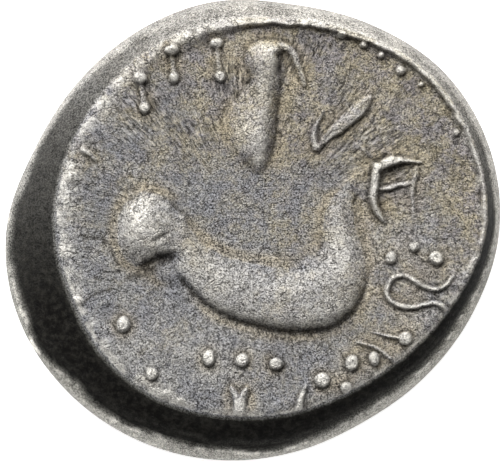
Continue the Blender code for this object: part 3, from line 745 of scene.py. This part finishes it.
ledge = smooth_ring(LEDGE, turn) + LEDGE_SWELL * read_sheet(mottle(4, 1.8), x, y)
ledge += LEDGE_RIPPLE * read_sheet(mottle(15, 0.5), x, y)
softness = LEDGE_SOFTNESS + LEDGE_BLEND * ease(np.cos(turn - LEDGE_BLENDED), 0.6, 0.95)
black = 1 - ease(down, ledge - softness / 2, ledge + softness / 2)
# The wall's black: partly patina, partly painted shade on the sides turned from the key light, ending at the
# ledge.
toned_and_shaded = on_top * ease(down, 0.0, 0.13) * black * wall_black
# Painted highlights in the black band: a wavy light line along a fold, and light flecks along the crease.
fold_down = ledge - FOLD_LIFT + 0.03 * read_sheet(mottle(25, 1.5), x, y)
fold_light = np.exp(-(((down - fold_down) / FOLD_WIDTH) ** 2)) * smooth_ring(FOLD_LIGHT, turn)
toned_and_shaded *= 1 - FOLD_LIGHTENING * np.clip(fold_light, 0.0, 1.0)
crease = np.exp(-(((down - ledge - CREASE_DROP) / CREASE_WIDTH) ** 2))
crease *= ease(read_sheet(mottle(16, 0.5), x, y), -0.3, 1.4)
on_face = (down <= 0) & on_top
die_x, die_y = x / DIE_SCALE, y / DIE_SCALE


def spread(face_sheet, wall_value, under_sheet):
    """A value at every corner of the skin: from the face's sheet, on the wall, and from the underside's."""
    under_value = read_sheet(under_sheet, x, y)
    face_value = read_sheet(face_sheet, die_x, die_y)
    return np.where(on_face, face_value, np.where(on_top, wall_value, under_value))


# Below the ledge the wall is lightened as rubbed metal, more towards the bottom, where the extra is a
# painted reflection of the white ground; the crease's flecks are a painted highlight.
lower = -np.sin(turn)
wall_rub_and_reflection = WALL_RUB + LOWER_WALL_RUB_AND_REFLECTION * ease(lower, 0.3, 0.95)
bare_wall_and_reflection = ease(down, ledge - 0.01, ledge + 0.09) * wall_black * wall_rub_and_reflection
bare_wall_and_reflection += UPPER_WALL_RUB * (1 - ease(down, 0.0, 0.30)) * (1 - wall_black)
bare_wall_and_reflection += RIGHT_WALL_RUB * ease(np.cos(turn - RIGHT_WALL), 0.94, 0.99) * (1 - ease(down, 0.5, 1.0))
rubbed_and_sheen = spread(rubbed_and_sheen_sheet, CREASE_GLINT * crease * ease(lower, 0.0, 0.5) + bare_wall_and_reflection, rubbed_under)
dirt_and_shade = spread(dirt_and_shade_sheet, 0.0, grimy_under)
stained = spread(halo_sheet, 0.0, grimy_under)
cracked = spread(cracked_sheet, 0.0, 0.0 * head)
walled = np.where(on_top, ease(down, 0.0, 0.10), 1.0)
wear_and_painted_light_shares = {
    "rubbed_and_sheen": rubbed_and_sheen, "dirt_and_shade": dirt_and_shade, "stained": stained,
    "cracked": cracked, "toned_and_shaded": toned_and_shaded, "walled": walled,
}
for name, values in wear_and_painted_light_shares.items():
    layer = skin.verts.layers.float.new(name)
    for vertex, value in zip(skin.verts, np.clip(values, 0.0, 1.0)):
        vertex[layer] = value
bmesh.ops.remove_doubles(skin, verts=skin.verts, dist=SEAM_GAP)
low = Vector([min(vertex.co[k] for vertex in skin.verts) for k in range(3)])
high = Vector([max(vertex.co[k] for vertex in skin.verts) for k in range(3)])
fit = [(cad_high[k] - cad_low[k]) / (high[k] - low[k]) for k in (0, 1)]
rise_fit = min(MM, cad_high.z / high.z)
for vertex in skin.verts:
    vertex.co = (
        cad_low.x + (vertex.co.x - low.x) * fit[0],
        cad_low.y + (vertex.co.y - low.y) * fit[1],
        (vertex.co.z - low.z) * rise_fit,
    )
coin_mesh = bpy.data.meshes.new("struck_coin")
skin.to_mesh(coin_mesh)
skin.free()
coin_mesh.shade_smooth()
struck_coin = bpy.data.objects.new("struck_coin", coin_mesh)
bpy.context.scene.collection.objects.link(struck_coin)
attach(struck_coin, "root")
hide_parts("coin")


# Old silver. A grey skin, bluish in the open field and brown in the hollows, with dark pits and bright
# grains all over, rubbed to light metal on what stands proud and nearly black on the wall. Part of the light
# metal is painted highlight and reflection, and part of the dark in the hollows and of the wall's black is
# painted shade.
PATINA = (0.208, 0.211, 0.219)
WARM_PATINA = (0.250, 0.222, 0.172)
STAIN = (0.310, 0.262, 0.180)
VIOLET_BLOOM = (0.203, 0.193, 0.232)
YELLOW_BLOOM = (0.285, 0.248, 0.165)
BRIGHT_SILVER = (0.72, 0.695, 0.64)
# This dark colour is dirt in pits, hairlines and crazing, and painted shade in hollows, cuts, on slopes that
# face down the picture and in the folds.
DIRT_AND_SHADE = (0.030, 0.026, 0.022)
WALL_GREY = (0.224, 0.215, 0.200)
BELLY_GREY = (0.236, 0.230, 0.196)
# The wall's near-black colour: partly patina, partly painted shade on the sides turned from the key light.
WALL_TONE_AND_SHADE = (0.004, 0.0038, 0.0034)
WALL_SCUFF = (0.024, 0.0225, 0.019)
GRAIN_SIZE = 0.085
COARSE_GRAIN_SIZE = 0.26
TINT_SIZE = 0.40
CLOUD_SIZE = 3.2
STAIN_SIZE = 1.1
PATCH_SIZE = 1.5
SCUFF_SIZE = 0.32
PIT_SPACING = 0.24
CELL_SPACING = 0.36
CELL_BEND = 0.35
OPEN_CELL_SIZE = 0.33
STREAKS = 46.0
STREAK_LENGTH = 1.1
FLOW_STREAKS = 70.0
FLOW_STREAK_LENGTH = 0.50
BUMP_HEIGHT = 0.06


class Term:
    """A shader value in a sum: each operator adds one Math node to its tree."""

    def __init__(self, finish, socket):
        self.finish = finish
        self.socket = socket

    def math(self, operation, *values):
        return self.finish.node("ShaderNodeMath", {"operation": operation}, *values)

    def __add__(self, other):
        return self.math("ADD", self, other)

    def __radd__(self, other):
        return self.math("ADD", other, self)

    def __sub__(self, other):
        return self.math("SUBTRACT", self, other)

    def __rsub__(self, other):
        return self.math("SUBTRACT", other, self)

    def __mul__(self, other):
        return self.math("MULTIPLY", self, other)

    def __rmul__(self, other):
        return self.math("MULTIPLY", other, self)

    def between(self, low, high):
        """0 up to low, 1 from high, and a smooth rise between."""
        settings = {"interpolation_type": "SMOOTHSTEP", "clamp": True}
        return self.finish.node("ShaderNodeMapRange", settings, self, low, high, 0.0, 1.0)


class Finish:
    """A material and the nodes that are added to it."""

    def __init__(self, name):
        self.material = bpy.data.materials.new(name)
        self.material.use_nodes = True
        self.tree = self.material.node_tree
        self.shader = self.tree.nodes["Principled BSDF"]
        self.place = self.node("ShaderNodeTexCoord", {}, out="Object")

    def node(self, kind, settings, *values, out=0):
        """Adds a node: its settings, then the values or links of its sockets, in order or by name."""
        made = self.tree.nodes.new(kind)
        for name, value in settings.items():
            setattr(made, name, value)
        named = values[0] if len(values) == 1 and isinstance(values[0], dict) else dict(enumerate(values))
        for name, value in named.items():
            self.feed(made.inputs[name], value)
        return Term(self, made.outputs[out])

    def feed(self, socket, value):
        if isinstance(value, Term):
            self.tree.links.new(value.socket, socket)
        else:
            socket.default_value = value

    def attribute(self, name):
        return self.node("ShaderNodeAttribute", {"attribute_name": name}, out="Fac")

    def noise(self, size_mm, detail=2.0, roughness=0.5, place=None):
        """Noise whose lumps are about size_mm across, 0 to 1."""
        scale = 1 / (size_mm * MM)
        sockets = {"Vector": place or self.place, "Scale": scale, "Detail": detail, "Roughness": roughness}
        return self.node("ShaderNodeTexNoise", {}, sockets)

    def blend(self, share, first, second, kind="MIX"):
        """Two colours mixed by a share."""
        sockets = {0: share, 6: first, 7: second}
        settings = {"data_type": "RGBA", "blend_type": kind, "clamp_factor": True}
        return self.node("ShaderNodeMix", settings, sockets, out=2)


silver = Finish("old_silver")
rubbed_and_sheen_share = silver.attribute("rubbed_and_sheen")
dirt_and_shade_share = silver.attribute("dirt_and_shade")
stained_share = silver.attribute("stained")
cracked_share = silver.attribute("cracked")
toned_and_shaded_share = silver.attribute("toned_and_shaded")
side_wall = silver.attribute("walled")
across = silver.node("ShaderNodeSeparateXYZ", {}, silver.place, out="X")
upward = silver.node("ShaderNodeSeparateXYZ", {}, silver.place, out="Y")
grain = silver.noise(GRAIN_SIZE, detail=3.0, roughness=0.8)
coarse_grain = silver.noise(COARSE_GRAIN_SIZE, detail=2.0)
tint = silver.noise(TINT_SIZE, detail=4.0, roughness=0.8)
cloud = silver.noise(CLOUD_SIZE, detail=3.0)
stain = silver.noise(STAIN_SIZE, detail=3.0)
pit_sockets = {"Vector": silver.place, "Scale": 1 / (PIT_SPACING * MM), "Randomness": 1.0}
pit_distance = silver.node("ShaderNodeTexVoronoi", {"feature": "F1"}, pit_sockets, out="Distance")
pits = 1 - pit_distance.between(0.08, 0.24)

# Radial hairlines: noise that is stretched along the metal's flow, from the middle outwards.
level = silver.node("ShaderNodeVectorMath", {"operation": "MULTIPLY"}, silver.place, (1.0, 1.0, 0.0))
outward = silver.node("ShaderNodeVectorMath", {"operation": "NORMALIZE"}, level)
reach = silver.node("ShaderNodeVectorMath", {"operation": "LENGTH"}, level, out="Value")
streak_place = silver.node("ShaderNodeVectorMath", {"operation": "SCALE"}, {0: outward, "Scale": STREAKS})
shift = silver.node("ShaderNodeCombineXYZ", {}, 0.0, 0.0, reach * (1 / (STREAK_LENGTH * MM)))
streak_place = silver.node("ShaderNodeVectorMath", {"operation": "ADD"}, streak_place, shift)
streak_place = silver.node("ShaderNodeVectorMath", {"operation": "ADD"}, streak_place, tint * 5.0)
streak = silver.node("ShaderNodeTexNoise", {}, {"Vector": streak_place, "Scale": 1.0, "Detail": 2.0})
flow_place = silver.node("ShaderNodeVectorMath", {"operation": "SCALE"}, {0: outward, "Scale": FLOW_STREAKS})
flow_shift = silver.node("ShaderNodeCombineXYZ", {}, 0.0, 0.0, reach * (1 / (FLOW_STREAK_LENGTH * MM)))
flow_place = silver.node("ShaderNodeVectorMath", {"operation": "ADD"}, flow_place, flow_shift)
flow_place = silver.node("ShaderNodeVectorMath", {"operation": "ADD"}, flow_place, coarse_grain * 1.5)
flow_sockets = {"Vector": flow_place, "Scale": 1.0, "Detail": 2.0, "Roughness": 0.8}
flow_grain = silver.node("ShaderNodeTexNoise", {}, flow_sockets)
hairline = (0.5 - streak).between(0.04, 0.11) * cracked_share * (1 - rubbed_and_sheen_share)

# Crazing: the edges of small uneven cells, open only here and there.
bent_place = silver.node("ShaderNodeVectorMath", {"operation": "ADD"}, silver.place, tint * (CELL_BEND * MM))
cell_sockets = {"Vector": bent_place, "Scale": 1 / (CELL_SPACING * MM), "Randomness": 1.0}
to_edge = {"feature": "DISTANCE_TO_EDGE"}
cell_edge = silver.node("ShaderNodeTexVoronoi", to_edge, cell_sockets, out="Distance")
open_cells = (silver.noise(OPEN_CELL_SIZE, detail=1.0) + (stain - 0.5) * 0.5).between(0.44, 0.60)
crazing = (1 - cell_edge.between(0.0, 0.10)) * open_cells

# The colours, from the field's grey skin up to the bright metal and the black wall, with painted highlights
# and painted shade among them.
patch = silver.noise(PATCH_SIZE, detail=6.0, roughness=0.78)
warmth = (cloud + (across * 22 + upward * 30) + (tint - 0.5) * 1.0).between(0.25, 1.05)
colour = silver.blend(warmth, (*PATINA, 1), (*WARM_PATINA, 1))
bloom = silver.blend(patch.between(0.40, 0.58), (*VIOLET_BLOOM, 1), (*YELLOW_BLOOM, 1))
colour = silver.blend((0.14 + warmth * 0.42) * (1 - side_wall), colour, bloom)
wall_grey = silver.blend(upward.between(-8 * MM, 8 * MM), (*BELLY_GREY, 1), (*WALL_GREY, 1))
colour = silver.blend(side_wall * 0.8, colour, wall_grey)
colour = silver.blend(stained_share * (0.15 + 0.8 * stain), colour, (*STAIN, 1))
# Dirt in the hollows, with painted shade at the forms' feet, in the cuts, on slopes that face down the
# picture, down the rider's side and under the rump.
colour = silver.blend(dirt_and_shade_share * (0.5 + 0.5 * stain), colour, (*DIRT_AND_SHADE, 1))
# The light metal: wear, with painted highlights on the rump and crest, and on the wall a painted reflection
# of the white ground.
bright_share = rubbed_and_sheen_share * (0.66 + side_wall * 0.2) + (coarse_grain - 0.5) * 0.4 + (stain - 0.5) * 0.45
colour = silver.blend(bright_share, colour, (*BRIGHT_SILVER, 1))
fleck = (grain + (flow_grain - grain) * cracked_share * 0.65).between(0.36, 0.64)
contrast = 1.65 - rubbed_and_sheen_share * 1.0
swell = (patch - 0.5) * (0.9 - rubbed_and_sheen_share * 0.6 + side_wall * 1.2)
colour = silver.blend(1.0, colour, (fleck - 0.5) * contrast + swell + 1.0, "MULTIPLY")
dark_share = pits * 0.6 + hairline * 0.30 + crazing * (0.55 - rubbed_and_sheen_share * 0.2)
colour = silver.blend(dark_share, colour, (*DIRT_AND_SHADE, 1))
scuffs = silver.noise(SCUFF_SIZE, detail=5.0, roughness=0.75).between(0.40, 0.70)
# The wall's near-black, partly patina and partly painted shade, with lighter scuffs.
wall_tone_and_shade = silver.blend(scuffs, (*WALL_TONE_AND_SHADE, 1), (*WALL_SCUFF, 1))
colour = silver.blend(toned_and_shaded_share, colour, wall_tone_and_shade)
roughness = 0.62 - rubbed_and_sheen_share * 0.14 + (grain - 0.5) * 0.3 - toned_and_shaded_share * 0.10
height = grain * 0.8 + coarse_grain * 0.6 - pits * 0.5 - hairline * 0.45 - crazing * 0.5
height = height * (1 - side_wall * 0.6)
bump_sockets = {"Strength": 1.0, "Distance": BUMP_HEIGHT * MM, "Height": height}
silver.feed(silver.shader.inputs["Base Color"], colour)
silver.feed(silver.shader.inputs["Roughness"], roughness)
silver.feed(silver.shader.inputs["Metallic"], 0.40 + rubbed_and_sheen_share * 0.30 - toned_and_shaded_share * 0.30)
silver.shader.inputs["Specular IOR Level"].default_value = 0.08
silver.feed(silver.shader.inputs["Normal"], silver.node("ShaderNodeBump", {}, bump_sockets, out="Normal"))
coin_mesh.materials.append(silver.material)

# The ground: a white sweep of paper, lit until it shows no shadow.
GROUND_RADIUS = 1.5
ground_shape = bmesh.new()
bmesh.ops.create_circle(ground_shape, cap_ends=True, segments=96, radius=GROUND_RADIUS)
ground_mesh = bpy.data.meshes.new("ground")
ground_shape.to_mesh(ground_mesh)
ground_shape.free()
ground = bpy.data.objects.new("ground", ground_mesh)
bpy.context.scene.collection.objects.link(ground)
paper = Finish("white_paper")
paper.shader.inputs["Base Color"].default_value = (0.9, 0.9, 0.9, 1)
paper.shader.inputs["Roughness"].default_value = 0.9
paper.shader.inputs["Emission Color"].default_value = (1, 1, 1, 1)
paper.shader.inputs["Emission Strength"].default_value = 0.85
ground_mesh.materials.append(paper.material)
ground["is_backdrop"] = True

# The studio: a wide soft light beyond the coin's top edge, a weaker one overhead, and dim walls.
world = bpy.data.worlds.new("studio")
world.use_nodes = True
world.node_tree.nodes["Background"].inputs["Color"].default_value = (0.06, 0.06, 0.06, 1)
bpy.context.scene.world = world


def soft_light(name, bearing, height, distance, size, power):
    """A soft light that faces the coin. Size is its width and height; bearing is clockwise from the top."""
    lamp = bpy.data.lights.new(name, "AREA")
    lamp.shape = "RECTANGLE"
    lamp.size, lamp.size_y = size
    lamp.energy = power
    holder = bpy.data.objects.new(name, lamp)
    level = distance * math.cos(height)
    place = Vector((level * math.sin(bearing), level * math.cos(bearing), distance * math.sin(height)))
    holder.location = place
    holder.rotation_euler = (-place).to_track_quat("-Z", "Y").to_euler()
    bpy.context.scene.collection.objects.link(holder)


soft_light("key", math.radians(-17), math.radians(34), 0.5, (0.50, 0.36), 6.4)
soft_light("overhead", math.radians(0), math.radians(78), 0.6, (0.5, 0.5), 0.9)

# The camera looks straight down through a long lens, with the coin's top edge up in the picture.
PICTURE_CELL = 0.0497 * MM
PICTURE_WIDTH = 500
LENS = 1000
COIN_OFFSET = (-2.75 * PICTURE_CELL, -0.5 * PICTURE_CELL)
camera = bpy.data.cameras.new("camera")
camera.lens = LENS
camera.sensor_width = 36
camera.clip_start = 0.01
watcher = bpy.data.objects.new("camera", camera)
above = PICTURE_CELL * PICTURE_WIDTH * LENS / camera.sensor_width
watcher.location = (*COIN_OFFSET, above + BELLY_HEIGHT * MM)
bpy.context.scene.collection.objects.link(watcher)
bpy.context.scene.camera = watcher
bpy.context.scene.view_settings.view_transform = "Standard"
